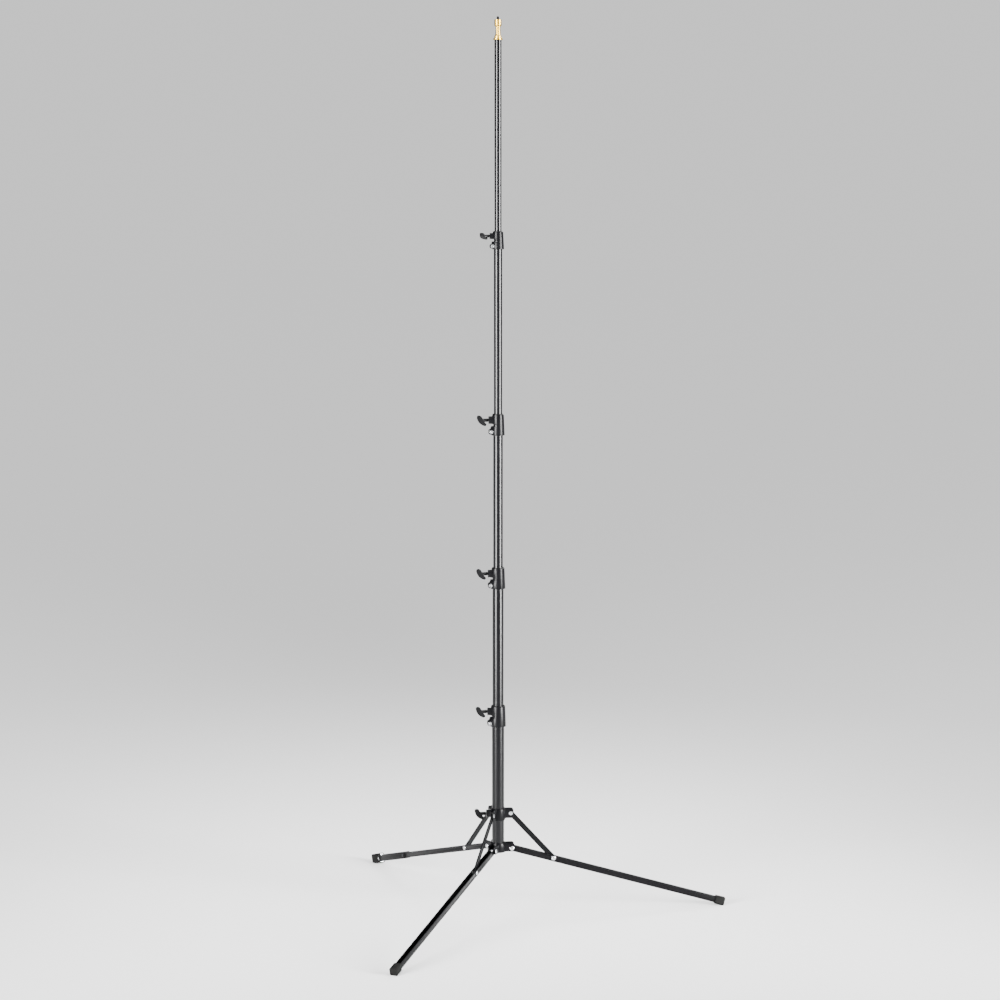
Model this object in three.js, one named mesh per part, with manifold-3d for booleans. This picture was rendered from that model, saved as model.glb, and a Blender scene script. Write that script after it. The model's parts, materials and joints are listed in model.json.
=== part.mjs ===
// A five-section telescopic stage-lighting stand on a folding three-legged base.
// Millimetres, +Z up, feet on z = 0. Leg a points along +X and every clamp knob points towards -X.
// Built bottom up: hub and legs, sliding collar and braces, then one stage after another to the spigot.
import * as THREE from 'three';
import { mergeVertices } from 'three/addons/utils/BufferGeometryUtils.js';
import Module from 'manifold-3d';

const wasm = await Module();
wasm.setup();

// ---- Clearances -------------------------------------------------------------------------------
const SEAT_GAP = 0.2; // between pieces that are fixed to each other
const SLIDE_GAP = 0.35; // radial, round a piece that slides
const SIDE_GAP = 0.3; // beside a link that swings
const PIN_GAP = 0.3; // radial, round a pin
const PAST = 1; // how far a cut or a joined piece runs past the face that it meets

// ---- Column, listed from the bottom stage to the top one --------------------------------------
const TUBE_OD = [28.6, 25.4, 22.2, 19.1, 15.9];
const TUBE_WALL = 1.2;
const EXPOSED = [297, 275, 307, 376, 429]; // bare tube below, between and above the clamp collars
const OVERLAP = 50; // tube held below the top of its collar when fully out
const PARK_GAP = [2, 2, 2, 14]; // left above each collar when the stage over it is fully in

// ---- Clamp collars: one plain size, and a smaller one at the top -------------------------------
const LARGE_COLLAR = { height: 48, seat: 24, bossR: 8.8, bossReach: 10.7, screwDrop: 13, earTop: 14 };
const SMALL_COLLAR = { height: 40, seat: 19, bossR: 6.8, bossReach: 9.3, screwDrop: 10, earTop: 12 };
const COLLAR_SIZES = [LARGE_COLLAR, LARGE_COLLAR, LARGE_COLLAR, SMALL_COLLAR];
const COLLAR_TOP_WALL = 2.3;
const COLLAR_FOOT_WALL = 4.3;
const COLLAR_CHAMFER = 0.8;
const NOTCH_HEIGHT = 5.5;
const NOTCH_DEPTH = 6; // how far the notch reaches in from the bore's edge
const EAR_HALF = 6.4;
const EAR_ROUND = 4;
const EAR_FOOT = 1; // ear's underside at the collar, above the collar's own
const EAR_TIP = 2; // and at its free end
const SLIT = 2;
const BUSH_LIP = 1.2;
const BUSH_LIP_HEIGHT = 1;

// ---- Screws, bolts and knobs -----------------------------------------------------------------
const CLAMP_SCREW_R = 3;
const CLAMP_SCREW_HOLD = 9; // length held in the knob's stem
const BOLT_R = 2.2;
const BOLT_HEAD_R = 4.4;
const BOLT_HEAD_HEIGHT = 3;
const BOLT_INSET = 5.6; // from the ear's free edge
const BOLT_SOCKET_R = 1.8;
const BOLT_SOCKET_DEPTH = 1.6;
const NUT_R = 4.2;
const NUT_HEIGHT = 3.2;
const BOLT_END = 1; // bolt left outside its nut
const KNOB_START = 1.5; // from the boss to the knob's stem
const KNOB_STEM_R = 4;
const KNOB_STEM = 16; // from the boss to the stem's buried end
const KNOB_WIDTH = 8.5;
const LARGE_KNOB = 1; // share of the full knob outline
const SMALL_KNOB = 0.87;
const KNOB_TURN = [0, 0, 0, 90]; // how each collar's knob stands, in degrees

// ---- Spigot -----------------------------------------------------------------------------------
const SPIGOT_R = 7.95;
const SPIGOT_HEAD = 15.6;
const SPIGOT_NECK_R = 5.2; // at the head, widening by a little to the block
const SPIGOT_FLARE = 0.6;
const SPIGOT_SLOPE = 1.8; // chamfer under the head and on the block
const SPIGOT_NECK = 18.8;
const SPIGOT_CHAMFER = 0.8;
const SPIGOT_BLOCK = 7;
const FLANGE_R = 10.5;
const FLANGE_HEIGHT = 3.6;
const SPIGOT_STEM = 22; // length inside the top tube
const STUD_R = 3.1;
const STUD_OUT = 7;
const STUD_HOLD = 9;
const STUD_CHAMFER = 0.7;

// ---- Hub --------------------------------------------------------------------------------------
const HUB_HEIGHT = 20.5;
const HUB_WALL = 4.2;
const HUB_PIN_R = 31.8; // hinge pin, from the column's axis
const HUB_PIN_DROP = 12.7; // hinge pin, below the hub's top
const HUB_LUG_R = 38.2;
const LUG_THICK = 3;
const LUG_ROUND = 6;
const LUG_SINK = 3.2; // lug's root inside its collar's outside
const HUB_LUG_FOOT = 0.8; // underside of the lugs, above the hub's underside
const HUB_LUG_FOOT_ROUND = 3;
const PLUG_HEIGHT = 10;
const TUBE_RISE = 1; // bottom tube's end above the hub's underside

// ---- Sliding collar ---------------------------------------------------------------------------
const SLIDER_RISE = 75; // its underside above the hub's
const SLIDER_HEIGHT = 28;
const SLIDER_WALL = 2.2;
const SLIDER_CHAMFER = 0.8;
const SLIDER_PIN_R = 29.4;
const SLIDER_PIN_RISE = 15.6; // above the collar's underside
const SLIDER_LUG_R = 36;
const SLIDER_LUG_THICK = 1.8;
const SLIDER_LUG_FOOT = 4; // underside of the lugs, above the collar's underside
const SLIDER_BOSS_REACH = 13.7;
const SLIDER_SCREW_RISE = 15.5;

// ---- Legs and braces --------------------------------------------------------------------------
const LEG_NAMES = ['a', 'b', 'c'];
const LEG_AZIMUTH = [0, 240, 120];
const LEG_DROP = 15.8; // slope below level, in degrees
const LEG_WIDTH = 12.5;
const LEG_DEPTH = 13.2;
const LEG_WALL = 1.2;
const LEG_REACH = 525; // hinge pin to the foot's outer end
const BRACE_PIN_U = 102; // along the leg from its hinge pin
const BRACE_PIN_V = 1; // above the leg's middle
const BRACE_WIDTH = 12;
const BRACE_THICK = 3;
const GROOVE_WIDTH = 5.5; // pressed along both faces of a brace
const GROOVE_DEPTH = 0.6;
const GROOVE_INSET = 12; // from each pin to the groove's end
const PIN_R = 2.5;
const PIN_HEAD_R = 5;
const PIN_HEAD_HEIGHT = 1.5;
const STUB_HEAD_HEIGHT = 0.9;
const STUB_HEAD_R = 4.6;

// ---- Feet -------------------------------------------------------------------------------------
const FOOT_LENGTH = 22;
const FOOT_WIDTH = 18;
const FOOT_DEPTH = 19;
const FOOT_ROUND = 4;
const FOOT_POCKET = 15;
const FOOT_RISE = 7.853; // middle of the leg at the foot's outer end, above the floor

// ---- Levelling leg ----------------------------------------------------------------------------
const LEVEL_LEG = 'c';
const SLEEVE_LENGTH = 122;
const SLEEVE_WALL = 1.3;
const SLEEVE_BLOCK = 10; // solid end of the sleeve
const SLEEVE_STUD_R = 5;
const LEVEL_PLAY = 4; // leg's end to the sleeve's solid end, at rest
const LEVEL_RING_R = 9.8;
const LEVEL_RING_HEIGHT = 5;
const LEVEL_FOOT_LENGTH = 27;
const LEVEL_FOOT_WIDTH = 21;
const LEVEL_FOOT_DEPTH = 24;
const LEVEL_STUD_HOLD = 14;
const LEVEL_SCREW_R = 2;
const LEVEL_SCREW_HEAD_R = 3.2;
const LEVEL_SCREW_HEAD = 1.6;
const LEVEL_SLOT_WIDTH = 0.8;
const LEVEL_SLOT_DEPTH = 0.7;
const LEVEL_SCREW_INSET = 9; // from the sleeve's mouth

const ROUND = 36; // sides of a round piece
const SMALL_ROUND = 16;
const CURVE_STEPS = 8;
const FAR = 200; // a cutter's reach past what it cuts
const degrees = THREE.MathUtils.degToRad;

// ---- Materials --------------------------------------------------------------------------------
const finish = (color, roughness, metalness) => new THREE.MeshStandardMaterial({ color, roughness, metalness });
const TUBE_BLACK = finish('#0d0d0e', 0.16, 0.4);
const CAST_BLACK = finish('#151516', 0.42, 0.3);
const LEG_BLACK = finish('#131314', 0.38, 0.4);
const KNOB_BLACK = finish('#19191a', 0.5, 0);
const BUSH_BLACK = finish('#1e1e1f', 0.55, 0);
const BRIGHT_STEEL = finish('#c9cacc', 0.25, 1);
const DARK_STEEL = finish('#3b3b3d', 0.35, 0.9);
const BRASS = finish('#c9a24a', 0.22, 1);
const RUBBER = finish('#101010', 0.85, 0);

// ---- Shape helpers ----------------------------------------------------------------------------

// A closed three.js geometry as a solid that can be joined and cut.
function solid(geometry) {
  const bare = geometry.clone();
  bare.deleteAttribute('normal');
  bare.deleteAttribute('uv');
  const welded = mergeVertices(bare, 1e-4);
  const corners = welded.index.array;
  const kept = [];
  for (let i = 0; i < corners.length; i += 3) {
    const [p, q, r] = [corners[i], corners[i + 1], corners[i + 2]];
    if (p !== q && q !== r && r !== p) kept.push(p, q, r);
  }
  const vertProperties = new Float32Array(welded.attributes.position.array);
  if (signedVolume(vertProperties, kept) < 0) kept.reverse();
  const triVerts = new Uint32Array(kept);
  return new wasm.Manifold(new wasm.Mesh({ numProp: 3, vertProperties, triVerts }));
}

function signedVolume(points, corners) {
  const [p, q, r] = [new THREE.Vector3(), new THREE.Vector3(), new THREE.Vector3()];
  let sum = 0;
  for (let i = 0; i < corners.length; i += 3) {
    p.fromArray(points, 3 * corners[i]);
    q.fromArray(points, 3 * corners[i + 1]);
    r.fromArray(points, 3 * corners[i + 2]);
    sum += p.dot(q.cross(r));
  }
  return sum;
}

// A mesh for one sub-part, from its solid, in the group that places it.
function add(parent, name, shape, material) {
  const { vertProperties, triVerts } = shape.getMesh();
  const geometry = new THREE.BufferGeometry();
  geometry.setAttribute('position', new THREE.BufferAttribute(new Float32Array(vertProperties), 3));
  geometry.setIndex(new THREE.BufferAttribute(new Uint32Array(triVerts), 1));
  geometry.computeVertexNormals();
  const mesh = new THREE.Mesh(geometry, material);
  mesh.name = name;
  parent.add(mesh);
  return mesh;
}

function group(parent, x = 0, z = 0) {
  const child = new THREE.Group();
  child.position.set(x, 0, z);
  parent.add(child);
  return child;
}

// A round bar from one height to another on the Z axis.
function post(radius, from, to, sides = ROUND) {
  const bar = new THREE.CylinderGeometry(radius, radius, to - from, sides);
  return solid(bar.rotateX(Math.PI / 2).translate(0, 0, (from + to) / 2));
}

// A round bar along X, or along Y, through a point given by its other two coordinates.
function barX(radius, from, to, z, sides = SMALL_ROUND) {
  const bar = new THREE.CylinderGeometry(radius, radius, to - from, sides);
  return solid(bar.rotateZ(Math.PI / 2).translate((from + to) / 2, 0, z));
}

function barY(radius, from, to, x, z, sides = SMALL_ROUND) {
  const bar = new THREE.CylinderGeometry(radius, radius, to - from, sides);
  return solid(bar.translate(x, (from + to) / 2, z));
}

function block([x0, x1], [y0, y1], [z0, z1]) {
  const box = new THREE.BoxGeometry(x1 - x0, y1 - y0, z1 - z0);
  return solid(box.translate((x0 + x1) / 2, (y0 + y1) / 2, (z0 + z1) / 2));
}

// A turned piece: [radius, height] points that close on themselves or start and end on the axis.
function turned(points, sides = ROUND) {
  const profile = points.map(([r, z]) => new THREE.Vector2(r, z));
  if (points[0][0] > 0) profile.push(profile[0].clone());
  return solid(new THREE.LatheGeometry(profile, sides).rotateX(Math.PI / 2));
}

function ring(inner, outer, from, to) {
  return turned([[inner, from], [outer, from], [outer, to], [inner, to]]);
}

// A flat plate in the XZ plane, its thickness running from y0 to y1.
function plate(outline, y0, y1) {
  const flat = new THREE.ExtrudeGeometry(outline, { depth: y1 - y0, bevelEnabled: false, curveSegments: CURVE_STEPS });
  return solid(flat.rotateX(Math.PI / 2).translate(0, y1, 0));
}

// A bar along X with a rounded rectangular section, wide in Y and deep in Z.
function roundedBar(from, to, width, depth, round) {
  const [w, d] = [width / 2, depth / 2];
  const section = new THREE.Shape();
  section.moveTo(w - round, -d);
  section.absarc(w - round, round - d, round, -Math.PI / 2, 0, false);
  section.absarc(w - round, d - round, round, 0, Math.PI / 2, false);
  section.absarc(round - w, d - round, round, Math.PI / 2, Math.PI, false);
  section.absarc(round - w, round - d, round, Math.PI, 1.5 * Math.PI, false);
  const bar = new THREE.ExtrudeGeometry(section, { depth: to - from, bevelEnabled: false, curveSegments: 4 });
  return solid(bar.rotateX(Math.PI / 2).rotateZ(Math.PI / 2).translate(from, 0, 0));
}

// A lug's outline: square where it joins its collar, rounded at its outer corners.
function lugOutline(from, to, foot, top, footRound) {
  const outline = new THREE.Shape();
  outline.moveTo(from, foot);
  outline.lineTo(to - footRound, foot);
  outline.absarc(to - footRound, foot + footRound, footRound, -Math.PI / 2, 0, false);
  outline.absarc(to - LUG_ROUND, top - LUG_ROUND, LUG_ROUND, 0, Math.PI / 2, false);
  outline.lineTo(from, top);
  return outline;
}

// A rivet across a joint: a shank along Y and a low head on each side of what it holds.
function rivet(half) {
  const face = half + SEAT_GAP;
  const end = face + PIN_HEAD_HEIGHT / 2;
  const shank = barY(PIN_R, -end, end, 0, 0);
  const near = rivetHead(PIN_HEAD_R, PIN_HEAD_HEIGHT, face);
  return shank.add(near).add(near.rotate([0, 0, 180]));
}

// A domed head that grows along +Y from a face at the given distance.
function rivetHead(radius, height, face) {
  const rim = radius * 0.82;
  const dome = [[0, 0], [radius, 0], [radius, height * 0.45], [rim, height * 0.85], [rim * 0.6, height], [0, height]];
  return turned(dome, SMALL_ROUND).rotate([-90, 0, 0]).translate([0, face, 0]);
}

// ---- Column sub-parts, each built with z = 0 at its own underside --------------------------------

const tubeR = TUBE_OD.map((od) => od / 2);
const tubeBoreR = tubeR.map((r) => r - TUBE_WALL);
const collarBoreR = tubeR.map((r) => r + SEAT_GAP);

function tube(stage, length) {
  return ring(tubeBoreR[stage], tubeR[stage], 0, length);
}

// The cast collar at a tube's top: a boss for the clamp screw above a slit pair of ears.
function collar(stage, size) {
  const bore = collarBoreR[stage];
  const [topR, footR] = [tubeR[stage] + COLLAR_TOP_WALL, tubeR[stage] + COLLAR_FOOT_WALL];
  const reach = tubeR[stage] + size.bossReach;
  const screwZ = size.height - size.screwDrop;
  const notchZ = screwZ - size.bossR - NOTCH_HEIGHT;
  const body = turned([
    [0, 0], [footR - COLLAR_CHAMFER, 0], [footR, COLLAR_CHAMFER],
    [topR, size.height - COLLAR_CHAMFER], [topR - COLLAR_CHAMFER, size.height], [0, size.height],
  ]);
  const boss = barX(size.bossR, -reach, 0, screwZ, ROUND);
  const ears = plate(earOutline(reach, footR, size.earTop, notchZ), -EAR_HALF, EAR_HALF);
  const cuts = [
    post(bore, -FAR, FAR),
    barX(CLAMP_SCREW_R + PIN_GAP, -FAR, 0, screwZ),
    block([-FAR, NOTCH_DEPTH - bore], [-FAR, FAR], [notchZ, notchZ + NOTCH_HEIGHT]),
    block([-FAR, 0], [-SLIT / 2, SLIT / 2], [-FAR, notchZ + PAST]),
    barY(BOLT_R + PIN_GAP, -FAR, FAR, -boltX(stage, size), boltZ(size)),
    barY(BOLT_HEAD_R + PIN_GAP, -FAR, -EAR_HALF, -boltX(stage, size), boltZ(size)),
    barY(NUT_R + PIN_GAP, EAR_HALF, FAR, -boltX(stage, size), boltZ(size)),
  ];
  return body.add(boss).add(ears).subtract(wasm.Manifold.union(cuts));
}

function earOutline(reach, footR, earTop, notchZ) {
  const outline = new THREE.Shape();
  outline.moveTo(0, EAR_FOOT);
  outline.lineTo(-footR, EAR_FOOT);
  outline.lineTo(-reach + 2 * EAR_ROUND, EAR_TIP);
  outline.absarc(-reach + EAR_ROUND, EAR_TIP + EAR_ROUND, EAR_ROUND, -Math.PI / 2, -Math.PI, true);
  outline.absarc(-reach + EAR_ROUND, earTop - EAR_ROUND, EAR_ROUND, Math.PI, Math.PI / 2, true);
  outline.lineTo(-footR, notchZ);
  outline.lineTo(0, notchZ);
  return outline;
}

const boltX = (stage, size) => tubeR[stage] + size.bossReach - BOLT_INSET;
const boltZ = (size) => (size.earTop + EAR_TIP) / 2;

// The bush between a collar and the next tube, with a lip on the collar's top and a hole for the screw.
function bush(stage, size) {
  const inner = tubeR[stage + 1] + SLIDE_GAP;
  const outer = collarBoreR[stage] - SEAT_GAP;
  const foot = size.seat + SEAT_GAP;
  const top = size.height + SEAT_GAP;
  const sleeve = turned([
    [inner, foot], [outer, foot], [outer, top], [outer + BUSH_LIP, top],
    [outer + BUSH_LIP, top + BUSH_LIP_HEIGHT], [inner, top + BUSH_LIP_HEIGHT],
  ]);
  const screwZ = size.height - size.screwDrop;
  return sleeve.subtract(barX(CLAMP_SCREW_R + 2 * PIN_GAP, -FAR, 0, screwZ));
}

// The ear bolt runs along Y. Its head faces -Y and its nut sits on the other ear.
function earBolt() {
  const end = EAR_HALF + SEAT_GAP + NUT_HEIGHT + BOLT_END;
  const head = barY(BOLT_HEAD_R, -EAR_HALF - SEAT_GAP - BOLT_HEAD_HEIGHT, -EAR_HALF - SEAT_GAP, 0, 0);
  const outside = -EAR_HALF - SEAT_GAP - BOLT_HEAD_HEIGHT;
  const socket = barY(BOLT_SOCKET_R, outside - PAST, outside + BOLT_SOCKET_DEPTH, 0, 0, 6);
  return barY(BOLT_R, -EAR_HALF - PAST, end, 0, 0).add(head).subtract(socket);
}

function earNut() {
  const face = EAR_HALF + SEAT_GAP;
  const hexagon = barY(NUT_R, face, face + NUT_HEIGHT, 0, 0, 6);
  return hexagon.subtract(barY(BOLT_R + SEAT_GAP, 0, FAR, 0, 0));
}

// A clamp screw along -X, its tip at the tube, and the T-knob on its outer end.
function clampScrew(tipR, bossEnd) {
  return barX(CLAMP_SCREW_R, -bossEnd - KNOB_START - CLAMP_SCREW_HOLD, -tipR - SIDE_GAP, 0);
}

// The knob's wing is a crescent that leans across its axis, one horn far out and one swept back.
function knob(bossEnd, share) {
  const wing = new THREE.Shape();
  wing.moveTo(16, 7.5);
  wing.quadraticCurveTo(20, 12, 24.5, 10);
  wing.quadraticCurveTo(27.5, 8.5, 26.5, 3.5);
  wing.quadraticCurveTo(23, -9.5, 9.5, -13.4);
  wing.quadraticCurveTo(5.5, -13.8, 5, -9.5);
  wing.quadraticCurveTo(11, -3, 16, 7.5);
  const crescent = plate(wing, -KNOB_WIDTH / 2, KNOB_WIDTH / 2);
  const stem = barX(KNOB_STEM_R, KNOB_START, KNOB_STEM, 0);
  const whole = crescent.add(stem).scale([-share, share, share]);
  const pocket = barX(CLAMP_SCREW_R + SEAT_GAP, -KNOB_START - CLAMP_SCREW_HOLD - SEAT_GAP, 0, 0);
  return whole.subtract(pocket).translate([-bossEnd, 0, 0]);
}

// The screw and knob of one clamp, in a group on the screw's axis.
function clamp(parent, label, screwZ, tipR, bossEnd, share, turn) {
  const axis = group(parent, 0, screwZ);
  add(axis, `${label}_screw`, clampScrew(tipR, bossEnd), DARK_STEEL);
  const handle = add(axis, `${label}_knob`, knob(bossEnd, share), KNOB_BLACK);
  handle.rotation.x = degrees(turn);
}

// The spigot, z = 0 under its flange: stem, flange, block, waist and head, and a threaded stud on top.
function spigot() {
  const blockTop = FLANGE_HEIGHT + SPIGOT_BLOCK;
  const neckTop = blockTop + SPIGOT_NECK;
  const headTop = neckTop + SPIGOT_HEAD;
  const stemR = tubeBoreR.at(-1) - SEAT_GAP;
  const body = turned([
    [0, -SPIGOT_STEM], [stemR, -SPIGOT_STEM], [stemR, 0], [FLANGE_R, 0], [FLANGE_R, FLANGE_HEIGHT],
    [SPIGOT_R, FLANGE_HEIGHT], [SPIGOT_R, blockTop - SPIGOT_SLOPE], [SPIGOT_NECK_R + SPIGOT_FLARE, blockTop],
    [SPIGOT_NECK_R, neckTop - SPIGOT_SLOPE / 2], [SPIGOT_R, neckTop + SPIGOT_SLOPE],
    [SPIGOT_R, headTop - SPIGOT_CHAMFER], [SPIGOT_R - SPIGOT_CHAMFER, headTop], [0, headTop],
  ]);
  return body.subtract(post(STUD_R + SEAT_GAP, headTop - STUD_HOLD - SEAT_GAP, FAR));
}

function spigotStud() {
  const foot = FLANGE_HEIGHT + SPIGOT_BLOCK + SPIGOT_NECK + SPIGOT_HEAD - STUD_HOLD;
  const top = foot + STUD_HOLD + STUD_OUT;
  const end = STUD_R - STUD_CHAMFER;
  return turned([[0, foot], [STUD_R, foot], [STUD_R, top - STUD_CHAMFER], [end, top], [0, top]], SMALL_ROUND);
}

// ---- Base sub-parts ---------------------------------------------------------------------------

const legHalf = LEG_WIDTH / 2;
const hubLugInner = legHalf + SIDE_GAP;
const hubLugOuter = hubLugInner + LUG_THICK;
const braceHalf = BRACE_THICK / 2;
const sliderLugInner = braceHalf + SIDE_GAP;
const sliderLugOuter = sliderLugInner + SLIDER_LUG_THICK;

// Three pairs of lugs round a collar, each the given outline, on both sides of a link.
function lugs(outline, inner, outer) {
  const pair = plate(outline, inner, outer).add(plate(outline, -outer, -inner));
  return wasm.Manifold.union(LEG_AZIMUTH.map((azimuth) => pair.rotate([0, 0, azimuth])));
}

function barsAcross(radius, x, z) {
  const bar = barY(radius, -FAR / 4, FAR / 4, x, z);
  const near = block([0, FAR], [-FAR / 4, FAR / 4], [z - radius - PAST, z + radius + PAST]);
  return wasm.Manifold.union(LEG_AZIMUTH.map((azimuth) => bar.intersect(near).rotate([0, 0, azimuth])));
}

// The hub is a collar at the column's foot with a pair of lugs for each leg.
function hub() {
  const outer = tubeR[0] + HUB_WALL;
  const outline = lugOutline(outer - LUG_SINK, HUB_LUG_R, HUB_LUG_FOOT, HUB_HEIGHT, HUB_LUG_FOOT_ROUND);
  const body = post(outer, 0, HUB_HEIGHT).add(lugs(outline, hubLugInner, hubLugOuter));
  const pinHoles = barsAcross(PIN_R + PIN_GAP, HUB_PIN_R, HUB_HEIGHT - HUB_PIN_DROP);
  return body.subtract(post(collarBoreR[0], -FAR, FAR)).subtract(pinHoles);
}

// The sliding collar: narrow lugs for the braces, and a boss for its clamp screw.
function slider() {
  const bore = tubeR[0] + SLIDE_GAP;
  const outer = bore + SLIDER_WALL;
  const outline = lugOutline(outer - LUG_SINK, SLIDER_LUG_R, SLIDER_LUG_FOOT, SLIDER_HEIGHT, LUG_ROUND);
  const sleeve = turned([
    [0, 0], [outer - SLIDER_CHAMFER, 0], [outer, SLIDER_CHAMFER], [outer, SLIDER_HEIGHT - SLIDER_CHAMFER],
    [outer - SLIDER_CHAMFER, SLIDER_HEIGHT], [0, SLIDER_HEIGHT],
  ]);
  const boss = barX(LARGE_COLLAR.bossR, -tubeR[0] - SLIDER_BOSS_REACH, 0, SLIDER_SCREW_RISE, ROUND);
  const body = sleeve.add(boss).add(lugs(outline, sliderLugInner, sliderLugOuter));
  const screwHole = barX(CLAMP_SCREW_R + PIN_GAP, -FAR, 0, SLIDER_SCREW_RISE);
  return body.subtract(post(bore, -FAR, FAR)).subtract(screwHole);
}

// A leg is a channel, open on top. x = 0 is its hinge pin and it runs along +X.
function leg(end) {
  const [half, open] = [LEG_DEPTH / 2, LEG_WIDTH / 2 - LEG_WALL];
  const outline = new THREE.Shape();
  outline.moveTo(end, -half);
  outline.lineTo(end, half);
  outline.lineTo(0, half);
  outline.absarc(0, 0, half, Math.PI / 2, 1.5 * Math.PI, false);
  const channel = block([-FAR, end + FAR], [-open, open], [LEG_WALL - half, FAR]);
  return plate(outline, -legHalf, legHalf)
    .subtract(channel)
    .subtract(barY(PIN_R + PIN_GAP, -FAR, FAR, 0, 0))
    .subtract(barY(PIN_R + PIN_GAP, -FAR, FAR, BRACE_PIN_U, BRACE_PIN_V));
}

// A flat brace between two pin centres, x = 0 at the leg's end.
function brace(length) {
  const holes = barY(PIN_R + PIN_GAP, -FAR, FAR, 0, 0).add(barY(PIN_R + PIN_GAP, -FAR, FAR, length, 0));
  const groove = strap(GROOVE_INSET, length - GROOVE_INSET, GROOVE_WIDTH);
  return plate(strap(0, length, BRACE_WIDTH), -braceHalf, braceHalf)
    .subtract(holes)
    .subtract(plate(groove, braceHalf - GROOVE_DEPTH, FAR))
    .subtract(plate(groove, -FAR, GROOVE_DEPTH - braceHalf));
}

// A straight outline with round ends, centred on points at x = from and x = to.
function strap(from, to, width) {
  const outline = new THREE.Shape();
  outline.absarc(to, 0, width / 2, -Math.PI / 2, Math.PI / 2, false);
  outline.absarc(from, 0, width / 2, Math.PI / 2, 1.5 * Math.PI, false);
  return outline;
}

const slope = degrees(LEG_DROP);
const hubPinZ = FOOT_RISE + LEG_REACH * Math.sin(slope); // the legs set how high the hub stands
const hubZ = hubPinZ + HUB_PIN_DROP - HUB_HEIGHT;
const sliderZ = hubZ + SLIDER_RISE;

// Keeps what lies above the floor of a solid that is drawn along a leg.
function trimToFloor(shape) {
  return shape.trimByPlane([-Math.sin(slope), 0, Math.cos(slope)], -hubPinZ);
}

// A rubber cap over a leg's end, worn flat where it stands.
function foot() {
  const start = LEG_REACH - FOOT_LENGTH;
  const cap = roundedBar(start, LEG_REACH, FOOT_WIDTH, FOOT_DEPTH, FOOT_ROUND);
  const [w, d] = [legHalf + SEAT_GAP, LEG_DEPTH / 2 + SEAT_GAP];
  const pocket = block([start - PAST, start + FOOT_POCKET], [-w, w], [-d, d]);
  return trimToFloor(cap.subtract(pocket));
}

const levelFootStart = LEG_REACH - LEVEL_FOOT_LENGTH;
const levelRingStart = levelFootStart - SEAT_GAP - LEVEL_RING_HEIGHT;
const sleeveEnd = levelRingStart - SEAT_GAP;
const sleeveStart = sleeveEnd - SLEEVE_LENGTH;
const levelLegEnd = sleeveEnd - SLEEVE_BLOCK - LEVEL_PLAY;
const sleeveWidth = LEG_WIDTH + 2 * (SLIDE_GAP + SLEEVE_WALL);
const sleeveDepth = LEG_DEPTH + 2 * (SLIDE_GAP + SLEEVE_WALL);
const levelScrewU = sleeveStart + LEVEL_SCREW_INSET;

// The sleeve slides on the levelling leg. A stud on its solid end carries the ring and the foot.
function levelSleeve() {
  const [w, d] = [legHalf + SLIDE_GAP, LEG_DEPTH / 2 + SLIDE_GAP];
  return roundedBar(sleeveStart, sleeveEnd, sleeveWidth, sleeveDepth, SLEEVE_WALL)
    .subtract(block([sleeveStart - PAST, sleeveEnd - SLEEVE_BLOCK], [-w, w], [-d, d]))
    .subtract(barY(LEVEL_SCREW_R + PIN_GAP, 0, FAR, levelScrewU, 0))
    .add(barX(SLEEVE_STUD_R, sleeveEnd - PAST, levelFootStart + LEVEL_STUD_HOLD, 0));
}

function levelRing() {
  const flat = ring(SLEEVE_STUD_R + SEAT_GAP, LEVEL_RING_R, 0, LEVEL_RING_HEIGHT);
  return flat.rotate([0, 90, 0]).translate([levelRingStart, 0, 0]);
}

function levelFoot() {
  const cap = roundedBar(levelFootStart, LEG_REACH, LEVEL_FOOT_WIDTH, LEVEL_FOOT_DEPTH, FOOT_ROUND);
  const hold = levelFootStart + LEVEL_STUD_HOLD + SEAT_GAP;
  return trimToFloor(cap.subtract(barX(SLEEVE_STUD_R + SEAT_GAP, levelFootStart - PAST, hold, 0)));
}

// The lock screw stands in the sleeve's side and stops just short of the leg.
function levelScrew() {
  const outside = sleeveWidth / 2 + SEAT_GAP;
  const top = outside + LEVEL_SCREW_HEAD;
  const head = barY(LEVEL_SCREW_HEAD_R, outside, top, 0, 0);
  const slot = block([-FAR, FAR], [top - LEVEL_SLOT_DEPTH, FAR], [-LEVEL_SLOT_WIDTH / 2, LEVEL_SLOT_WIDTH / 2]);
  return barY(LEVEL_SCREW_R, legHalf + SEAT_GAP, outside + LEVEL_SCREW_HEAD / 2, 0, 0).add(head).subtract(slot);
}

// ---- Assembly ---------------------------------------------------------------------------------

const stand = new THREE.Group();
const stack = group(stand);

function buildBase() {
  const hubGroup = group(stack, 0, hubZ);
  add(hubGroup, 'hub', hub(), CAST_BLACK);
  const plugR = tubeBoreR[0] - SEAT_GAP;
  add(hubGroup, 'tube_plug', post(plugR, TUBE_RISE, TUBE_RISE + PLUG_HEIGHT), KNOB_BLACK);

  const sliderGroup = group(stack, 0, sliderZ);
  add(sliderGroup, 'slider_collar', slider(), CAST_BLACK);
  const bossEnd = tubeR[0] + SLIDER_BOSS_REACH;
  clamp(sliderGroup, 'slider', SLIDER_SCREW_RISE, tubeR[0], bossEnd, LARGE_KNOB, 0);

  LEG_NAMES.forEach((name, i) => {
    const spoke = group(stack);
    spoke.rotation.z = degrees(LEG_AZIMUTH[i]);
    buildLeg(spoke, name);
    buildBrace(spoke, name);
  });
}

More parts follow.
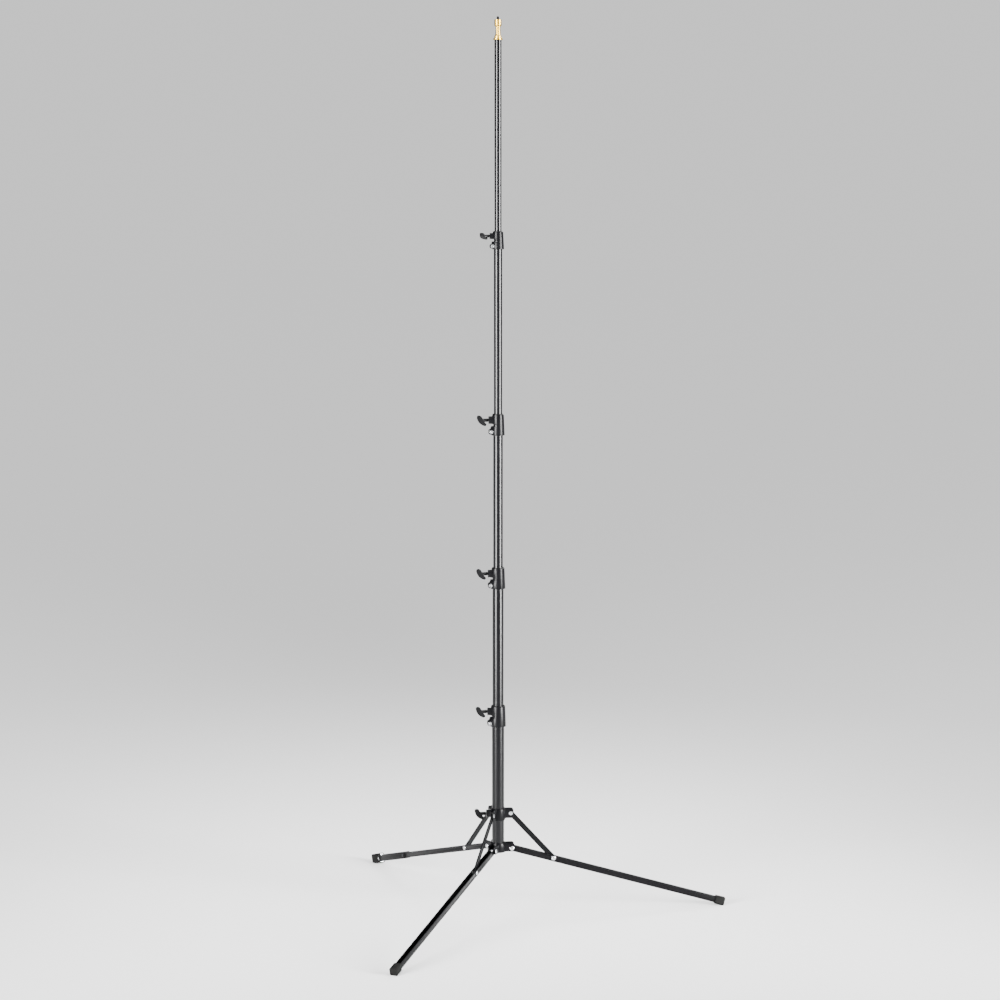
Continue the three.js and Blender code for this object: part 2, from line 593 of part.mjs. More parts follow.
function buildLeg(spoke, name) {
  const along = group(spoke, HUB_PIN_R, hubPinZ);
  along.rotation.y = slope;
  add(group(spoke, HUB_PIN_R, hubPinZ), `hub_pin_${name}`, rivet(hubLugOuter), BRIGHT_STEEL);
  add(group(along, BRACE_PIN_U, BRACE_PIN_V), `brace_pin_${name}`, rivet(legHalf), BRIGHT_STEEL);
  if (name !== LEVEL_LEG) {
    add(along, `leg_${name}`, leg(LEG_REACH - FOOT_LENGTH + FOOT_POCKET - SEAT_GAP), LEG_BLACK);
    add(along, `foot_${name}`, foot(), RUBBER);
    return;
  }
  add(along, `leg_${name}`, leg(levelLegEnd), LEG_BLACK);
  add(along, 'level_sleeve', levelSleeve(), LEG_BLACK);
  add(along, 'level_ring', levelRing(), BRIGHT_STEEL);
  add(along, `foot_${name}`, levelFoot(), RUBBER);
  add(group(along, levelScrewU), 'level_screw', levelScrew(), DARK_STEEL);
}

function buildBrace(spoke, name) {
  const low = new THREE.Vector2(BRACE_PIN_U, BRACE_PIN_V).rotateAround(new THREE.Vector2(), -slope);
  low.add(new THREE.Vector2(HUB_PIN_R, hubPinZ));
  const high = new THREE.Vector2(SLIDER_PIN_R, sliderZ + SLIDER_PIN_RISE);
  const rise = high.clone().sub(low);
  const link = group(spoke, low.x, low.y);
  link.rotation.y = -rise.angle();
  add(link, `brace_${name}`, brace(rise.length()), LEG_BLACK);
  const stub = rivetHead(STUB_HEAD_R, STUB_HEAD_HEIGHT, sliderLugOuter + SEAT_GAP);
  const top = group(spoke, high.x, high.y);
  add(top, `slider_rivet_${name}_left`, stub, BRIGHT_STEEL);
  add(top, `slider_rivet_${name}_right`, stub.rotate([0, 0, 180]), BRIGHT_STEEL);
}

function buildColumn() {
  let bottom = hubZ + TUBE_RISE; // where this stage's tube starts
  let shoulder = hubZ; // top of the piece that its exposed length starts from
  TUBE_OD.forEach((od, stage) => {
    const size = COLLAR_SIZES[stage];
    const end = shoulder + EXPOSED[stage];
    const label = stage + 1;
    const top = size ? end + size.seat : end - SEAT_GAP;
    add(group(stack, 0, bottom), `tube_${label}`, tube(stage, top - bottom), TUBE_BLACK);
    if (!size) {
      const head = group(stack, 0, end);
      add(head, 'spigot', spigot(), BRASS);
      add(head, 'spigot_stud', spigotStud(), DARK_STEEL);
      return;
    }
    buildCollar(group(stack, 0, end), stage, size);
    shoulder = end + size.height;
    bottom = shoulder - OVERLAP;
  });
}

function buildCollar(parent, stage, size) {
  const label = `collar_${stage + 1}`;
  add(parent, label, collar(stage, size), CAST_BLACK);
  add(parent, `${label}_bush`, bush(stage, size), BUSH_BLACK);
  const ear = group(parent, -boltX(stage, size), boltZ(size));
  add(ear, `${label}_bolt`, earBolt(), BRIGHT_STEEL);
  add(ear, `${label}_nut`, earNut(), BRIGHT_STEEL);
  const share = size === SMALL_COLLAR ? SMALL_KNOB : LARGE_KNOB;
  const bossEnd = tubeR[stage] + size.bossReach;
  clamp(parent, label, size.height - size.screwDrop, tubeR[stage + 1], bossEnd, share, KNOB_TURN[stage]);
}

buildBase();
buildColumn();

// The origin is the middle of the whole stand's footprint, on the floor.
stand.updateMatrixWorld(true);
const bounds = new THREE.Box3().setFromObject(stand, true);
const middle = bounds.getCenter(new THREE.Vector3());
stack.position.set(-middle.x, -middle.y, -bounds.min.z);

// What the joints need: how far each stage slides in, where it parks, and where the pins are.
stand.userData = {
  stageTravel: EXPOSED.slice(1).map((length, i) => length - PARK_GAP[i]),
  columnAxis: stack.position.toArray(),
};

export default stand;
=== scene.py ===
# %% [markdown]
# # A telescopic lighting stand
# This lesson dresses a finished CAD model of a lighting stand: five nested black tubes, four cast clamp
# collars, a brass spigot and a folding tripod. The CAD model fixes every size and joint. Blender gives each
# piece a finer mesh and its real finish, and never moves or resizes a CAD node.

# %% Load the CAD frame
import json
import math

import bmesh
import bpy
from mathutils import Matrix, Vector


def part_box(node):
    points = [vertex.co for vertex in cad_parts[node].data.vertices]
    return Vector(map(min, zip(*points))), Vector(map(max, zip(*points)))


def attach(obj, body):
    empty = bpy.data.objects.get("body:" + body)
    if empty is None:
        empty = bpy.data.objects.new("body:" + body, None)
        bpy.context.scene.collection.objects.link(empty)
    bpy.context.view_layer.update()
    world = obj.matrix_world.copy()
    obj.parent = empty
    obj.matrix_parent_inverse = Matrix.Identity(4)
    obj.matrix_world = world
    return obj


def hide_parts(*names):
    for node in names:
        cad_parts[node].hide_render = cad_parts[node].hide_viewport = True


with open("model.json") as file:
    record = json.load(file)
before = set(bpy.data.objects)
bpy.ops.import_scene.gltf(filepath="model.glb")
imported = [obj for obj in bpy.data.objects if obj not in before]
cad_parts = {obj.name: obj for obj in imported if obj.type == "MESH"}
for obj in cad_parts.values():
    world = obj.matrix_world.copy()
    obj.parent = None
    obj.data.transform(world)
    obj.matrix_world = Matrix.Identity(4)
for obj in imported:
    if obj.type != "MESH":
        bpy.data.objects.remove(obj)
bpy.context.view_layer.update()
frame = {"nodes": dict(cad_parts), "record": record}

MM = 0.001
RECORD = frame["record"]
BODY_OF = {node: body for body, nodes in RECORD["behaviour"]["bodies"].items() for node in nodes}
SLOT_OF = {row["node"]: row["material_slot"] for row in RECORD["subparts"]}
JOINTS = {joint["name"]: joint for joint in RECORD["behaviour"]["joints"]}
LEGS = ("a", "b", "c")
STAGES = (1, 2, 3, 4, 5)
COLLARS = (1, 2, 3, 4)

# %% [markdown]
# ## Small helpers
# A few helpers do the repeated work. The first read where a CAD node lies and how a joint turns, one turns a
# profile round an axis as a lathe does, and one hands the finished mesh over: it names the piece, gives it its
# finish, hides the CAD node that it stands for and hangs it on that node's body, so that it moves with that
# body.

# %% Where a node lies
def middle_of(node):
    low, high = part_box(node)
    return (low + high) / 2


def size_of(node):
    low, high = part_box(node)
    return high - low


def joint_axis(name):
    return Vector(JOINTS[name]["axis"]).normalized()


def joint_point(name):
    return Vector(JOINTS[name]["pos_m"])


AXIS = Vector((middle_of("tube_5").x, middle_of("tube_5").y, 0))
UP = Vector((0, 0, 1))

# %% Turn a profile on a lathe
LATHE_STEPS = 72
HOLD = 0.6 * MM
LONG_RUN = 6 * HOLD
MERGE_WITHIN = 1e-6


def held(profile):
    """Adds a point near both ends of each long run, so that a chamfer's shading doesn't spread down the run."""
    out = [profile[0]]
    for start, end in zip(profile, profile[1:]):
        start, end = Vector(start), Vector(end)
        run = (end - start).length
        if run > LONG_RUN:
            out += [tuple(start.lerp(end, HOLD / run)), tuple(start.lerp(end, 1 - HOLD / run))]
        out.append(tuple(end))
    return out


def turned(profile, foot, axis, steps=LATHE_STEPS):
    """A bmesh: [radius, height] points spun round an axis that starts at foot."""
    bm = bmesh.new()
    side = axis.orthogonal().normalized()
    points = [bm.verts.new(foot + side * radius + axis * height) for radius, height in held(profile)]
    if profile[0][0] > 0:
        points.append(points[0])
    edges = [bm.edges.new(pair) for pair in zip(points, points[1:])]
    everything = bm.verts[:] + edges
    bmesh.ops.spin(bm, geom=everything, cent=foot, axis=axis, angle=math.tau, steps=steps, use_merge=True)
    bmesh.ops.remove_doubles(bm, verts=bm.verts, dist=MERGE_WITHIN)
    bmesh.ops.recalc_face_normals(bm, faces=bm.faces)
    return bm


# %% Hand a finished mesh over
SHARP_ANGLE = math.radians(32)


def hand_over(bm, name, node, material):
    """The piece takes its CAD node's place: the node is hidden, and the piece rides the same body with a better
    mesh and finish.
    """
    mesh = bpy.data.meshes.new(name)
    bm.to_mesh(mesh)
    bm.free()
    mesh.shade_smooth()
    mesh.set_sharp_from_angle(angle=SHARP_ANGLE)
    mesh.materials.append(material)
    piece = bpy.data.objects.new(name, mesh)
    bpy.context.collection.objects.link(piece)
    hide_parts(node)
    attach(piece, BODY_OF[node])
    return piece


# %% [markdown]
# ## Finishes
# The stand is nearly all black, so its finishes are told apart by gloss and grain, not by colour. Each
# material is named for the real surface. A noise pattern in the object's own coordinates varies the colour
# and the roughness a little, and on the coarser coats lifts a fine bump, with its scale from a real size. A
# second, broad pattern stands for handling: it shifts whole patches a little lighter and duller.

# %% Colour and node helpers
def linear(hex_colour):
    """An sRGB hex colour as the linear values that a shader takes."""
    channels = [int(hex_colour[i:i + 2], 16) / 255 for i in (1, 3, 5)]
    return (*[c / 12.92 if c <= 0.04045 else ((c + 0.055) / 1.055) ** 2.4 for c in channels], 1.0)


def add_node(tree, kind, inputs=None, **settings):
    made = tree.nodes.new(kind)
    for name, value in settings.items():
        setattr(made, name, value)
    for name, value in (inputs or {}).items():
        if isinstance(value, bpy.types.NodeSocket):
            tree.links.new(value, made.inputs[name])
        else:
            made.inputs[name].default_value = value
    return made


# A coat's reflection is held below a clear lacquer's, so that blacks stay black between the highlights.
# Gloss tubes keep about twice the reflection of the satin coats.
BLACK_COAT = {"IOR": 1.4, "Specular IOR Level": 0.14}
GLOSS_COAT = {"IOR": 1.4, "Specular IOR Level": 0.3}
HANDLED_PATCH = 45 * MM


def grained(name, dark, light, rough, grain, bump, stretch=(1, 1, 1), wear=0.35, detail=4.0, **shader):
    """A surface whose colour and gloss vary. grain is its pattern's size in millimetres and bump its depth,
    rough its least and greatest roughness, and wear the broad pattern's share."""
    material = bpy.data.materials.new(name)
    material.use_nodes = True
    tree = material.node_tree
    tree.nodes.clear()
    place = add_node(tree, "ShaderNodeTexCoord").outputs["Object"]
    turned_place = add_node(tree, "ShaderNodeMapping", {"Vector": place, "Scale": stretch}).outputs["Vector"]
    fine = add_node(tree, "ShaderNodeTexNoise", {
        "Vector": turned_place, "Scale": 1 / (grain * MM), "Detail": detail, "Roughness": 0.6}).outputs["Fac"]
    broad = add_node(tree, "ShaderNodeTexNoise", {
        "Vector": place, "Scale": 1 / HANDLED_PATCH, "Detail": 3.0}).outputs["Fac"]
    both = add_node(tree, "ShaderNodeMix", {
        "Factor": wear, "A": fine, "B": broad}, data_type="FLOAT").outputs["Result"]
    colour = add_node(tree, "ShaderNodeValToRGB", {"Fac": both})
    colour.color_ramp.elements[0].position = 0.35
    colour.color_ramp.elements[0].color = linear(dark)
    colour.color_ramp.elements[1].position = 0.68
    colour.color_ramp.elements[1].color = linear(light)
    gloss = add_node(tree, "ShaderNodeMapRange", {
        "Value": both, "From Min": 0.3, "From Max": 0.7, "To Min": rough[0], "To Max": rough[1]})
    relief = add_node(tree, "ShaderNodeBump", {"Height": fine, "Strength": 0.5, "Distance": bump * MM})
    inputs = {"Base Color": colour.outputs["Color"], "Roughness": gloss.outputs["Result"],
              "Normal": relief.outputs["Normal"], **shader}
    skin = add_node(tree, "ShaderNodeBsdfPrincipled", inputs)
    add_node(tree, "ShaderNodeOutputMaterial", {"Surface": skin.outputs["BSDF"]})
    return material


# %% [markdown]
# ### Gloss black anodised tube
# Drawn aluminium tube, polished and anodised black: a gloss that gathers each lamp into one bright line along
# its length. Its draw lines run with the tube, so the pattern is stretched along Z. Real lines are under 0.1 mm
# apart, too fine to show, so they are drawn 3 mm apart, as a slight change of gloss and colour with no bump.

# %% Gloss black anodised tube
tube_black = grained(
    "gloss black anodised aluminium", "#030304", "#070709", (0.20, 0.24), 3.0, 0.0,
    stretch=(1, 1, 0.02), detail=1.0, **GLOSS_COAT)

# %% [markdown]
# ### Satin powder coat on castings
# The collars, hub and sliding collar are die-cast and powder coated. The coat has an orange-peel skin about a
# millimetre across, which breaks highlights up into a soft grey glow.

# %% Satin powder coat on castings
cast_black = grained(
    "satin black powder coat on die casting", "#030304", "#08080a", (0.25, 0.37), 1.1, 0.04,
    **BLACK_COAT)

# %% [markdown]
# ### Satin enamel on pressed steel
# The legs and braces are pressed strip, sprayed with a thinner satin enamel. It is smoother than the powder
# coat, and its gloss varies in patches, as handling leaves it.

# %% Satin enamel on pressed steel
leg_black = grained(
    "satin black enamel on pressed steel", "#030304", "#080809", (0.22, 0.36), 2.2, 0.02,
    **BLACK_COAT)

# %% [markdown]
# ### Moulded plastics and rubber
# The knobs are glass-filled nylon with a spark-eroded texture, the bushes are smooth acetal, and the feet are
# matt rubber with a bloom of dust in it.

# %% Moulded plastics and rubber
knob_black = grained(
    "glass-filled nylon, textured moulding", "#050506", "#0c0c0d", (0.32, 0.48), 0.6, 0.05, **BLACK_COAT)
bush_black = grained(
    "black acetal moulding", "#060607", "#0c0c0d", (0.30, 0.40), 0.9, 0.01, **BLACK_COAT)
rubber = grained(
    "matt black rubber", "#060606", "#121211", (0.62, 0.86), 1.4, 0.08, wear=0.55, **BLACK_COAT)

# %% [markdown]
# ### Bare metals
# Rivets, bolts and nuts are bright zinc-plated steel. Screws are dark oxide steel. The spigot is brass, turned
# and polished, with faint tool rings round it, so its pattern is squeezed along Z instead of stretched. Real
# rings are finer than 0.2 mm; they are drawn about 0.7 mm apart so that they show, in colour and gloss only.

# %% Bare metals
bright_steel = grained(
    "bright zinc-plated steel", "#b9babd", "#d9dadc", (0.20, 0.34), 0.7, 0.012, Metallic=1.0)
dark_steel = grained(
    "black oxide steel", "#2b2b2d", "#454547", (0.30, 0.42), 0.6, 0.012, Metallic=1.0)
brass = grained(
    "polished turned brass", "#9c7a2c", "#bb9a42", (0.32, 0.40), 6.0, 0.0, stretch=(0.3, 0.3, 9),
    Metallic=1.0)

FINISH = {
    "tube_black": tube_black, "cast_black": cast_black, "leg_black": leg_black, "knob_black": knob_black,
    "bush_black": bush_black, "rubber": rubber, "bright_steel": bright_steel, "dark_steel": dark_steel,
    "brass": brass,
}
print("made", len(FINISH), "finishes")


def finish_of(node):
    return FINISH[SLOT_OF[node]]


# %% [markdown]
# ## Tubes
# A gloss tube shows every facet of a coarse mesh in its highlights. Each one is turned afresh with fine
# steps and a small chamfer at its ends, from the CAD tube's own box. Its wall is the same throughout.

# %% Tubes
TUBE_WALL = 1.2 * MM
TUBE_CHAMFER = 0.3 * MM

for stage in STAGES:
    node = f"tube_{stage}"
    outer = size_of(node).x / 2
    inner = outer - TUBE_WALL
    length = size_of(node).z
    foot = Vector((AXIS.x, AXIS.y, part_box(node)[0].z))
    profile = [
        (inner, 0), (outer - TUBE_CHAMFER, 0), (outer, TUBE_CHAMFER), (outer, length - TUBE_CHAMFER),
        (outer - TUBE_CHAMFER, length), (inner, length),
    ]
    hand_over(turned(profile, foot, UP, steps=96), f"drawn_{node}", node, tube_black)
    print(node, round(2 * outer / MM, 1), "mm across,", round(length / MM), "mm long")

# %% [markdown]
# ## Castings and pressings
# A casting's edges are never knife-sharp, and the thin bright line along a rounded edge is what makes metal
# look like metal. The CAD shapes are right, so each is copied, its loose triangles merged, its flat faces
# made whole again, and its sharp edges given a small rounded bevel.

# %% Round a CAD shape's edges
CAD_MERGE_WITHIN = 2e-6
FLAT_WITHIN = math.radians(0.5)
SHARP_EDGE = math.radians(35)


def eased(node, radius, segments=2):
    """A merged copy of the CAD node, its flat faces whole and its sharp edges rounded to that radius."""
    bm = bmesh.new()
    bm.from_mesh(frame["nodes"][node].data)
    bmesh.ops.remove_doubles(bm, verts=bm.verts, dist=CAD_MERGE_WITHIN)
    bmesh.ops.dissolve_limit(bm, angle_limit=FLAT_WITHIN, verts=bm.verts, edges=bm.edges)
    sharp = [edge for edge in bm.edges if edge.is_manifold and edge.calc_face_angle() > SHARP_EDGE]
    bmesh.ops.bevel(
        bm, geom=sharp, offset=radius, offset_type="OFFSET", affect="EDGES", segments=segments, profile=0.5,
        material=-1, clamp_overlap=True)
    bmesh.ops.triangulate(bm, faces=[face for face in bm.faces if len(face.verts) > 4])
    return bm


# %% Cast collars, hub, sliding collar, legs and braces
# Radii in millimetres: rubber moulds roundest, and small turned parts keep the crispest edges.
EDGE_RADIUS = {"cast_black": 0.35, "leg_black": 0.25, "bright_steel": 0.2, "bush_black": 0.15, "rubber": 0.9}


def ease_node(node):
    radius = EDGE_RADIUS[SLOT_OF[node]] * MM
    hand_over(eased(node, radius), f"finished_{node}", node, finish_of(node))


CASTINGS = ["hub", "slider_collar"] + [f"collar_{n}" for n in COLLARS]
PRESSINGS = [f"leg_{leg}" for leg in LEGS] + [f"brace_{leg}" for leg in LEGS] + ["level_sleeve"]
SMALL_PARTS = [f"collar_{n}_{part}" for n in COLLARS for part in ("bush", "bolt", "nut")]
FEET = [f"foot_{leg}" for leg in LEGS]
for node in CASTINGS + PRESSINGS + SMALL_PARTS + FEET:
    ease_node(node)
print("eased", len(CASTINGS + PRESSINGS + SMALL_PARTS + FEET), "nodes")

# %% [markdown]
# ## Rivets and pins
# Each leg and brace turns on a steel rivet whose head is a low dome with a rolled rim. A rivet is turned on the
# axis of the hinge that it makes, so it stands square to its own leg.

# %% Rivet heads
def dome(radius, height, base):
    """A low domed head's profile, from its flat face at base outwards to its crown."""
    return [
        (radius * 0.96, base), (radius, base + height * 0.18), (radius * 0.97, base + height * 0.45),
        (radius * 0.84, base + height * 0.72), (radius * 0.55, base + height * 0.93),
        (0, base + height),
    ]


SHANK_SHARE = 0.5
PIN_HEAD = 1.5 * MM
for leg in LEGS:
    for kind, hinge in (("hub_pin", "leg"), ("brace_pin", "brace")):
        node = f"{kind}_{leg}"
        radius = size_of(f"{kind}_a").z / 2
        half = size_of(f"{kind}_a").y / 2
        upper = dome(radius, PIN_HEAD, half - PIN_HEAD)
        shank = radius * SHANK_SHARE
        lower = [(r, -h) for r, h in reversed(upper)]
        profile = lower + [(shank, PIN_HEAD - half), (shank, half - PIN_HEAD)] + upper
        axis = joint_axis(f"{hinge}_{leg}_fold")
        hand_over(turned(profile, middle_of(node), axis, steps=40), f"steel_{node}", node, bright_steel)

    for hand in ("left", "right"):
        node = f"slider_rivet_{leg}_{hand}"
        radius = size_of("slider_rivet_a_left").z / 2
        height = size_of("slider_rivet_a_left").y
        axis = joint_axis(f"leg_{leg}_fold")
        outward = axis if (middle_of(node) - AXIS).dot(axis) > 0 else -axis
        foot = middle_of(node) - outward * height / 2
        profile = [(0, 0)] + dome(radius, height, 0)
        hand_over(turned(profile, foot, outward, steps=40), f"steel_{node}", node, bright_steel)
    print("leg", leg, "has two hinge pins and two slider rivets")

# %% [markdown]
# ## Spigot
# The spigot is the standard fitting that lamps clamp on: a head and a block of the full size, with a waist
# between them where the lamp's screw bites, above a flange that sits on the tube. The real one is turned from
# bar, so it is one spun profile with small chamfers, and a bored hole on top for the stud.

# %% Spigot
low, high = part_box("spigot")
FLANGE_HEIGHT, BLOCK, NECK, HEAD = 3.6 * MM, 7 * MM, 18.8 * MM, 15.6 * MM
FLANGE_R = size_of("spigot").x / 2
SPIGOT_R = 7.95 * MM
NECK_R = 5.2 * MM
FLARE = 0.6 * MM
SLOPE = 1.8 * MM
FIT_GAP = 0.2 * MM
STEM_R = size_of("tube_5").x / 2 - TUBE_WALL - FIT_GAP
STUD_R = size_of("spigot_stud").x / 2
STUD_HOLE_R = STUD_R + FIT_GAP
STUD_HOLE_DEPTH = 9.2 * MM
EASE = 0.5 * MM
flange = high.z - HEAD - NECK - BLOCK - FLANGE_HEIGHT
stem = low.z - flange
block_top = FLANGE_HEIGHT + BLOCK
neck_top = block_top + NECK
head_top = neck_top + HEAD
spigot_profile = [
    (0, stem), (STEM_R - EASE, stem), (STEM_R, stem + EASE), (STEM_R, 0), (FLANGE_R - EASE, 0),
    (FLANGE_R, EASE), (FLANGE_R, FLANGE_HEIGHT - EASE), (FLANGE_R - EASE, FLANGE_HEIGHT),
    (SPIGOT_R, FLANGE_HEIGHT), (SPIGOT_R, block_top - SLOPE - EASE / 2),
    (SPIGOT_R - EASE / 2, block_top - SLOPE), (NECK_R + FLARE + EASE / 2, block_top),
    (NECK_R + FLARE, block_top + EASE), (NECK_R, neck_top - SLOPE / 2), (NECK_R + EASE / 2, neck_top),
    (SPIGOT_R - EASE / 2, neck_top + SLOPE), (SPIGOT_R, neck_top + SLOPE + EASE),
    (SPIGOT_R, head_top - EASE), (SPIGOT_R - EASE, head_top), (STUD_HOLE_R + EASE, head_top),
    (STUD_HOLE_R, head_top - EASE), (STUD_HOLE_R, head_top - STUD_HOLE_DEPTH),
    (0, head_top - STUD_HOLE_DEPTH),
]
spigot_foot = Vector((AXIS.x, AXIS.y, flange))
hand_over(turned(spigot_profile, spigot_foot, UP, steps=96), "turned_spigot", "spigot", brass)
print("spigot", round(head_top / MM, 1), "mm above the tube, head", round(2 * SPIGOT_R / MM, 1), "mm across")

# %% [markdown]
# ## Threads
# A real thread is a helix, but at this size rings read the same and close cleanly. The stud's profile climbs in
# equal saw teeth, 1.2 mm apart, and is spun like the rest. Each clamp's screw is made the same way, along the
# axis that its knob turns on.

# %% Threaded stud
PITCH = 1.2 * MM
TOOTH = 0.35 * MM


def threaded(radius, start, end):
    """Saw-tooth points up a thread of that outer radius."""
    turns = int((end - start) / PITCH)
    points = []
    for turn in range(turns):
        root = start + turn * PITCH
        points += [(radius - TOOTH, root), (radius, root + PITCH / 2)]
    return points + [(radius - TOOTH, start + turns * PITCH)]


STUD_LEAD_IN, STUD_LEAD_OUT = 0.3 * MM, 0.6 * MM
stud_low, stud_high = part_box("spigot_stud")
stud_length = stud_high.z - stud_low.z
stud_profile = [
    (0, 0), *threaded(STUD_R, STUD_LEAD_IN, stud_length - STUD_LEAD_OUT), (STUD_R - 2 * TOOTH, stud_length),
    (0, stud_length),
]
stud_foot = Vector((AXIS.x, AXIS.y, stud_low.z))
hand_over(turned(stud_profile, stud_foot, UP, steps=48), "threaded_stud", "spigot_stud", dark_steel)
print("stud", round(stud_length / MM, 1), "mm long")

# %% Clamp screws
OUTWARD = Vector((-1, 0, 0))
CLAMPS = [f"collar_{n}" for n in COLLARS] + ["slider"]
TURN_OF = {label: f"clamp_{label[-1]}_turn" for label in CLAMPS[:-1]} | {"slider": "slider_clamp_turn"}

SCREW_LEAD_IN, SCREW_LEAD_OUT = 0.8 * MM, 0.4 * MM
for label in CLAMPS:
    node = f"{label}_screw"
    length = size_of(node).x
    radius = size_of(node).z / 2
    tip = Vector((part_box(node)[1].x, AXIS.y, joint_point(TURN_OF[label]).z))
    thread = threaded(radius, SCREW_LEAD_IN, length - SCREW_LEAD_OUT)
    profile = [(0, 0), (radius - 2 * TOOTH, 0), *thread, (0, length)]
    hand_over(turned(profile, tip, OUTWARD, steps=32), f"threaded_{node}", node, dark_steel)
    print(node, round(length / MM, 1), "mm long")

# %% [markdown]
# ## T-knobs
# Each knob is a moulded half-moon that leans across its screw, one horn far out and one swept back, so that
# fingers hook behind it. The moulding's edges are fully rounded, so only the rims of its two flat faces get a
# wide bevel in many steps, and the stem is left as it is. A knob stops wherever its screw tightens, so the
# top one is drawn a little way round from its CAD solid.

# %% T-knobs
RIM_RADIUS = 2.2 * MM
FACE_MARGIN = 0.02 * MM
TURN_ON_SCREW = {"collar_4": 25}


def knob_mesh(label, node):
    """The CAD knob with rounded rims. Its two flat faces lie across its thinner side, which differs by knob."""
    bm = bmesh.new()
    bm.from_mesh(frame["nodes"][node].data)
    bmesh.ops.remove_doubles(bm, verts=bm.verts, dist=CAD_MERGE_WITHIN)
    bmesh.ops.dissolve_limit(bm, angle_limit=FLAT_WITHIN, verts=bm.verts, edges=bm.edges)
    size = size_of(node)
    thin = 1 if size.y < size.z else 2
    faces_at = (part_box(node)[0][thin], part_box(node)[1][thin])

    def on_rim(edge):
        return any(all(abs(vert.co[thin] - at) < FACE_MARGIN for vert in edge.verts) for at in faces_at)

    rim = [edge for edge in bm.edges if on_rim(edge) and edge.calc_face_angle(0) > SHARP_EDGE]
    bmesh.ops.bevel(
        bm, geom=rim, offset=RIM_RADIUS, offset_type="OFFSET", affect="EDGES", segments=6, profile=0.5,
        material=-1, clamp_overlap=True)
    bmesh.ops.triangulate(bm, faces=[face for face in bm.faces if len(face.verts) > 4])
    turn = Matrix.Rotation(math.radians(TURN_ON_SCREW.get(label, 0)), 3, OUTWARD)
    bmesh.ops.rotate(bm, cent=joint_point(TURN_OF[label]), matrix=turn, verts=bm.verts)
    return bm


for label in CLAMPS:
    node = f"{label}_knob"
    hand_over(knob_mesh(label, node), f"moulded_{node}", node, knob_black)
    print(node, "turned", TURN_ON_SCREW.get(label, 0), "degrees")

# %% [markdown]
# ## What stays as CAD
# A few hidden or simple nodes keep their CAD mesh, so every CAD node takes its finish too.

# %% Finishes on the rest
for name, node in frame["nodes"].items():
    node.data.materials.clear()
    node.data.materials.append(finish_of(name))
print("finished", len(frame["nodes"]), "CAD nodes")

# %% [markdown]
# ## Studio
# A stand this thin is drawn by its reflections. Two tall soft boxes stand left and right of the camera, and
# each lays one bright line down the tubes. A weak one behind lights the edges, and a broad light overhead fills
# the legs, over a plain pale floor. The world is pale only to the camera's own rays. To everything else it is
# almost dark, because a bright room mirrored in black tubes would turn them grey.

# %% Floor and room
def plain(name, hex_colour, roughness):
    material = bpy.data.materials.new(name)
    material.use_nodes = True
    shader = material.node_tree.nodes["Principled BSDF"]
    shader.inputs["Base Color"].default_value = linear(hex_colour)
    shader.inputs["Roughness"].default_value = roughness
    return material


FLOOR_HALF_WIDTH = 400
ROOM_STRENGTH, PAPER_STRENGTH = 0.05, 0.92
floor_mesh = bmesh.new()
bmesh.ops.create_grid(floor_mesh, x_segments=1, y_segments=1, size=FLOOR_HALF_WIDTH)
mesh = bpy.data.meshes.new("floor")
floor_mesh.to_mesh(mesh)
floor_mesh.free()
mesh.materials.append(plain("pale paper", "#f4f4f4", 0.9))
floor = bpy.data.objects.new("floor", mesh)
bpy.context.collection.objects.link(floor)

world = bpy.data.worlds.new("studio")
bpy.context.scene.world = world
world.use_nodes = True
sky = world.node_tree
sky.nodes.clear()
camera_ray = add_node(sky, "ShaderNodeLightPath").outputs["Is Camera Ray"]
room = add_node(sky, "ShaderNodeBackground", {"Color": linear("#d8dade"), "Strength": ROOM_STRENGTH})
paper = add_node(sky, "ShaderNodeBackground", {"Color": linear("#ffffff"), "Strength": PAPER_STRENGTH})
seen = add_node(sky, "ShaderNodeMixShader", {"Fac": camera_ray})
sky.links.new(room.outputs["Background"], seen.inputs[1])
sky.links.new(paper.outputs["Background"], seen.inputs[2])
add_node(sky, "ShaderNodeOutputWorld", {"Surface": seen.outputs["Shader"]})
print("floor", 2 * FLOOR_HALF_WIDTH, "m wide")

# %% [markdown]
# ### Camera
# The camera stands about five metres off with a long lens, below the stand's top and looking slightly down. A
# long lens from far away keeps a tall, thin object upright in the frame, and the tripod is seen from above.

# %% Camera
CAMERA_ROUND = math.radians(5.41)
CAMERA_TURN = math.radians(5.46)
CAMERA_DOWN = math.radians(6.015)
CAMERA_AWAY = 5.1795
CAMERA_HEIGHT = 1.5144
LENS, SENSOR_WIDTH = 81.48, 36

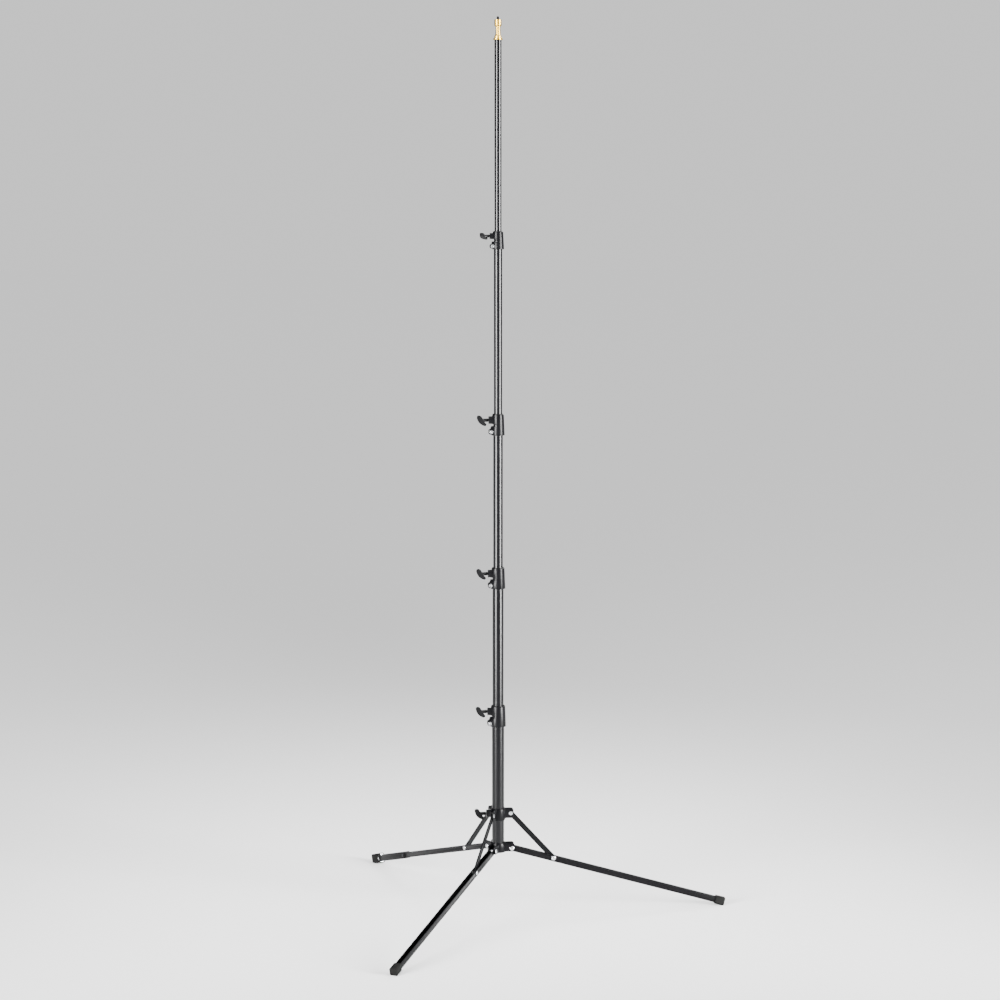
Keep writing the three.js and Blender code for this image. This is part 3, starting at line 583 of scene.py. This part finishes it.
camera = bpy.data.objects.new("camera", bpy.data.cameras.new("camera"))
camera.data.lens = LENS
camera.data.sensor_width = SENSOR_WIDTH
camera.location = AXIS + Vector((
    -CAMERA_AWAY * math.sin(CAMERA_ROUND), -CAMERA_AWAY * math.cos(CAMERA_ROUND), CAMERA_HEIGHT))
camera.rotation_euler = (math.radians(90) - CAMERA_DOWN, 0, -CAMERA_TURN)
bpy.context.collection.objects.link(camera)
bpy.context.scene.camera = camera
print("camera", CAMERA_AWAY, "m away,", CAMERA_HEIGHT, "m up")

# %% [markdown]
# ### Soft boxes
# A gridded box throws its light forwards only, within a set spread, so each one can stand close to the view
# without washing out the floor. Tall boxes suit tall tubes: their reflections run the whole length.

# %% Soft boxes
GRID_SPREAD = math.radians(64)
HIGHEST_AIM = 1.1


def soft_box(name, round_from_camera, away, height, size, power):
    """A gridded soft box that faces the column: its angle in degrees from the camera, positive to the right,
    then its distance, height and size in metres, and its power in watts."""
    data = bpy.data.lights.new(name, "AREA")
    data.shape = "RECTANGLE"
    data.size, data.size_y = size
    data.energy = power
    data.spread = GRID_SPREAD
    light = bpy.data.objects.new(name, data)
    angle = math.radians(round_from_camera) - CAMERA_ROUND
    light.location = AXIS + Vector((away * math.sin(angle), -away * math.cos(angle), height))
    aim = AXIS + UP * min(height, HIGHEST_AIM) - light.location
    light.rotation_euler = aim.to_track_quat("-Z", "Y").to_euler()
    bpy.context.collection.objects.link(light)


soft_box("left soft box", -46, 3.0, 1.3, (1.3, 2.6), 125)
soft_box("right soft box", 61, 3.0, 1.3, (1.0, 2.6), 145)
soft_box("back soft box", 150, 4.0, 3.4, (2.4, 1.6), 30)

# The ceiling is a sun 80 degrees wide, so its shadows are only a soft darkening at the feet.
CEILING_STRENGTH = 3.3
CEILING_WIDTH = math.radians(80)
CEILING_TILT = (math.radians(8), math.radians(6), 0)
ceiling = bpy.data.lights.new("ceiling bounce", "SUN")
ceiling.energy = CEILING_STRENGTH
ceiling.angle = CEILING_WIDTH
ceiling_light = bpy.data.objects.new("ceiling bounce", ceiling)
ceiling_light.rotation_euler = CEILING_TILT
bpy.context.collection.objects.link(ceiling_light)
print("lights", [light.name for light in bpy.data.lights])
